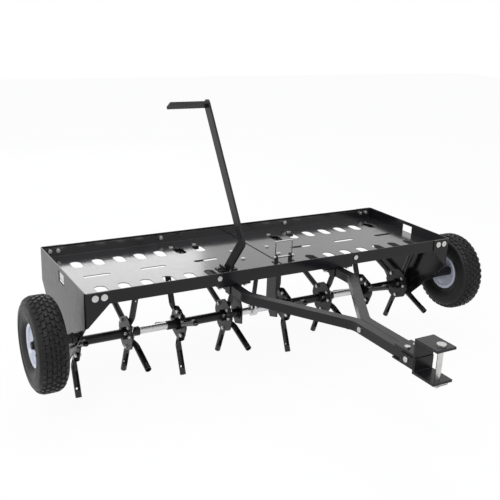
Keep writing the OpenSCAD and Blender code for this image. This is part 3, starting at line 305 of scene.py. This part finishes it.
def revolve(side, profile, steps):
    """A closed profile turned round a wheel's axle."""
    verts, faces = [], []
    n = len(profile)
    for i in range(steps):
        a = 2 * math.pi * i / steps
        verts += [on_wheel(side, x, r, a) for x, r in profile]
    for i in range(steps):
        add_band(faces, i * n, n, n if i < steps - 1 else n - steps * n)
    return verts, faces


def lug(verts, faces, side, s0, s1, a0, a1, skew):
    """A tread block with sloped sides and a chamfered top; skew shears it round the wheel."""
    start = len(verts)
    ring = 2 * (LUG_CELLS + 1)
    levels = ((-LUG_DEPTH - LUG_ROOT, -LUG_FLARE), (-LUG_CHAMFER[0], 0.0), (0.0, LUG_CHAMFER[1]))
    for out, inset in levels:
        lo_s, hi_s = s0 + inset, s1 - inset
        lo_a, hi_a = a0 + inset / TYRE_R, a1 - inset / TYRE_R
        path = [(lo_s + (hi_s - lo_s) * k / LUG_CELLS, lo_a) for k in range(LUG_CELLS + 1)]
        path += [(hi_s - (hi_s - lo_s) * k / LUG_CELLS, hi_a) for k in range(LUG_CELLS + 1)]
        for s, a in path:
            (x, r), n = tyre_line(s)
            shear = skew * (s - (s0 + s1) / 2) / (s1 - s0)
            verts.append(on_wheel(side, x + n[0] * out, r + n[1] * out, a + shear))
    for level in range(len(levels) - 1):
        add_band(faces, start + level * ring, ring, ring)
    top = start + (len(levels) - 1) * ring
    for k in range(LUG_CELLS):
        faces.append((top + k, top + k + 1, top + ring - 2 - k, top + ring - 1 - k))


def knobby_tyre(side):
    """A tyre with three rows of staggered blocks on each half of its tread, over a ribbed side wall."""
    word = SIDE_WORDS[side]
    tread = []
    for k in range(TREAD_STEPS + 1):
        s = WALL_START * (2 * k / TREAD_STEPS - 1)
        (x, r), n = tyre_line(s)
        to_wall = (WALL_START - abs(s)) / (WALL_START - TREAD_EDGE)
        sunk = LUG_DEPTH * min(1, max(LEAST_SUNK, to_wall))
        tread.append((x - n[0] * sunk, r - n[1] * sunk))
    profile = [(-x, r) for x, r in reversed(SIDE_WALL)] + tread + list(SIDE_WALL)
    verts, faces = revolve(side, profile, TYRE_STEPS)
    pitch = 2 * math.pi / LUG_PITCHES
    for i in range(LUG_PITCHES):
        for half, stagger in ((1, 0), (-1, 0.5)):
            first = (i + stagger) * pitch
            for s0, s1, offset, width, skew in LUG_ROWS:
                low_s, high_s = (s0, s1) if half > 0 else (-s1, -s0)
                lug(verts, faces, side, low_s, high_s, first + offset * pitch,
                    first + (offset + width) * pitch, half * skew)
    obj = make_mesh("knobby_tyre_" + word, verts, faces, RUBBER, "wheel_" + word, TREAD_SHARP)
    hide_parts("tyre_" + word)


# Bolts and valves of the rims

RIM_BOLTS = 4
RIM_BOLT_CIRCLE = 0.0225
RIM_BOLT_SEAT = 0.0024
# Studs: radius, height, chamfer and number of sides
RIM_BOLT = (0.0034, 0.0034, 0.0006, 6)
VALVE_BOOT = (0.0042, 0.008, 0.001, 16)
VALVE_CAP = (0.0030, 0.009, 0.0007, 16)
VALVE_CAP_START = 0.0079
VALVE_X = 0.0126
VALVE_R = 0.0405
VALVE_ANGLE = math.radians(200)
VALVE_LEAN = 0.35
DETAIL_SHARP = 30


def stud(verts, faces, base, u, v, w, shape):
    """A many-sided stud from base along w, with a chamfered top."""
    radius, height, chamfer, sides = shape
    start = len(verts)
    for h, r in ((0, radius), (height - chamfer, radius), (height, radius - chamfer)):
        for k in range(sides):
            a = 2 * math.pi * k / sides
            verts.append(base + u * (r * math.cos(a)) + v * (r * math.sin(a)) + w * h)
    for level in range(2):
        add_band(faces, start + level * sides, sides, sides)
    faces.append(tuple(start + 2 * sides + k for k in range(sides)))
    faces.append(tuple(start + k for k in reversed(range(sides))))


def rim_bolts(side):
    """The bolts that clamp the rim's halves, with a head on both faces."""
    word = SIDE_WORDS[side]
    verts, faces = [], []
    for face in (-1, 1):
        for k in range(RIM_BOLTS):
            a = math.pi / 4 + k * 2 * math.pi / RIM_BOLTS
            base = Vector(on_wheel(side, face * RIM_BOLT_SEAT, RIM_BOLT_CIRCLE, a))
            stud(verts, faces, base, Vector((0, 1, 0)), Vector((0, 0, 1)), Vector((face, 0, 0)), RIM_BOLT)
    make_mesh("rim_bolts_" + word, verts, faces, ZINC, "wheel_" + word, DETAIL_SHARP)


def valve_stem(side):
    """A valve that leans toward the axle from the outer face of the rim."""
    word = SIDE_WORDS[side]
    verts, faces = [], []
    foot = Vector(on_wheel(side, side * VALVE_X, VALVE_R, VALVE_ANGLE))
    inward = Vector((0, -math.cos(VALVE_ANGLE), -math.sin(VALVE_ANGLE)))
    along = (inward * VALVE_LEAN + Vector((side, 0, 0))).normalized()
    across = along.orthogonal().normalized()
    third = along.cross(across)
    stud(verts, faces, foot, across, third, along, VALVE_BOOT)
    stud(verts, faces, foot + along * VALVE_CAP_START, across, third, along, VALVE_CAP)
    make_mesh("valve_stem_" + word, verts, faces, RUBBER, "wheel_" + word, DETAIL_SHARP)


for side in (-1, 1):
    knobby_tyre(side)
for side in (-1, 1):
    rim_bolts(side)
    valve_stem(side)


# Camera, fitted to the photograph

CAMERA_PLACE = (-1.14222, -1.10480, 0.74894)
CAMERA_LENS = 54.70
CAMERA_SENSOR = 36
YAW = 0.528
PITCH = math.radians(18.15)
ROLL = math.radians(2.31)

forward = Vector((math.sin(YAW) * math.cos(PITCH), math.cos(YAW) * math.cos(PITCH), -math.sin(PITCH)))
level_right = Vector((math.cos(YAW), -math.sin(YAW), 0))
level_up = level_right.cross(forward)
right = level_right * math.cos(ROLL) + level_up * math.sin(ROLL)
up = level_up * math.cos(ROLL) - level_right * math.sin(ROLL)
camera_data = bpy.data.cameras.new("camera")
camera_data.lens = CAMERA_LENS
camera_data.sensor_width = CAMERA_SENSOR
camera = add_object("camera", camera_data)
camera.matrix_world = Matrix.Translation(CAMERA_PLACE) @ Matrix((right, up, -forward)).transposed().to_4x4()
bpy.context.scene.camera = camera


# Stage

GROUND_GAP = 0.0005
GROUND_REACH = 9.0
FLOOR_COLOR = (0.90, 0.90, 0.90, 1)
FLOOR_ROUGHNESS = 0.9
# Share of its own white that the floor shows to the camera; the rest of it takes the object's shadow
FLOOR_GLOW = 0.93
SKY_COLOR = (0.93, 0.95, 1.0, 1)
SKY_STRENGTH = 0.62


def backdrop_rays(tree):
    """1 for camera, glossy and transmitted rays, which see the white backdrop, and 0 for the light on the part."""
    rays = tree.nodes.new("ShaderNodeLightPath").outputs
    seen = add_math(tree, "MAXIMUM", rays["Is Camera Ray"], rays["Is Glossy Ray"])
    return add_math(tree, "MAXIMUM", seen, rays["Is Transmission Ray"])


def mix_shaders(tree, factor, first, second, output):
    """The first shader where the factor is 0 and the second where it is 1, on the surface of an output node."""
    blend = tree.nodes.new("ShaderNodeMixShader")
    tree.links.new(factor, blend.inputs["Fac"])
    tree.links.new(first, blend.inputs[1])
    tree.links.new(second, blend.inputs[2])
    tree.links.new(blend.outputs["Shader"], tree.nodes[output].inputs["Surface"])


ground_z = cad_low.z - GROUND_GAP
ground_mesh = bpy.data.meshes.new("ground")
corners = [(GROUND_REACH * x, GROUND_REACH * y, ground_z) for x, y in ((-1, -1), (1, -1), (1, 1), (-1, 1))]
ground_mesh.from_pydata(corners, [], [(0, 1, 2, 3)])
ground = add_object("ground", ground_mesh)
mat, tree, bsdf = new_material("pale_floor")
bsdf.inputs["Base Color"].default_value = FLOOR_COLOR
bsdf.inputs["Roughness"].default_value = FLOOR_ROUGHNESS
glow = tree.nodes.new("ShaderNodeEmission")
glow.inputs["Strength"].default_value = 1.0
share = add_math(tree, "MULTIPLY", backdrop_rays(tree), FLOOR_GLOW)
mix_shaders(tree, share, bsdf.outputs["BSDF"], glow.outputs["Emission"], "Material Output")
ground_mesh.materials.append(mat)

world = bpy.data.worlds.new("studio")
bpy.context.scene.world = world
world.use_nodes = True
tree = world.node_tree
soft = tree.nodes["Background"]
soft.inputs["Color"].default_value = SKY_COLOR
soft.inputs["Strength"].default_value = SKY_STRENGTH
white = tree.nodes.new("ShaderNodeBackground")
white.inputs["Color"].default_value = (1, 1, 1, 1)
white.inputs["Strength"].default_value = 1.0
mix_shaders(tree, backdrop_rays(tree), soft.outputs["Background"], white.outputs["Background"], "World Output")


# Light: name, place, target, width, height and power

LAMPS = (("key", (-1.9, -1.2, 2.6), (0, 0.7, 0), 1.6, 1.6, 46),
         ("top", (0.2, 0.9, 2.9), (0, 0.8, 0), 2.4, 1.6, 30),
         ("behind", (0.35, 4.2, 1.25), (0, 0.8, 0), 2.2, 1.5, 18),
         ("left_card", (-3.2, 1.4, 0.6), (0, 0.8, 0), 1.6, 1.6, 14))

for name, place, target, width, height, power in LAMPS:
    lamp_data = bpy.data.lights.new(name, "AREA")
    lamp_data.shape = "RECTANGLE"
    lamp_data.size = width
    lamp_data.size_y = height
    lamp_data.energy = power
    lamp = add_object(name, lamp_data)
    lamp.location = place
    lamp.rotation_euler = (Vector(target) - Vector(place)).to_track_quat("-Z", "Y").to_euler()

bpy.context.scene.view_settings.view_transform = "Standard"
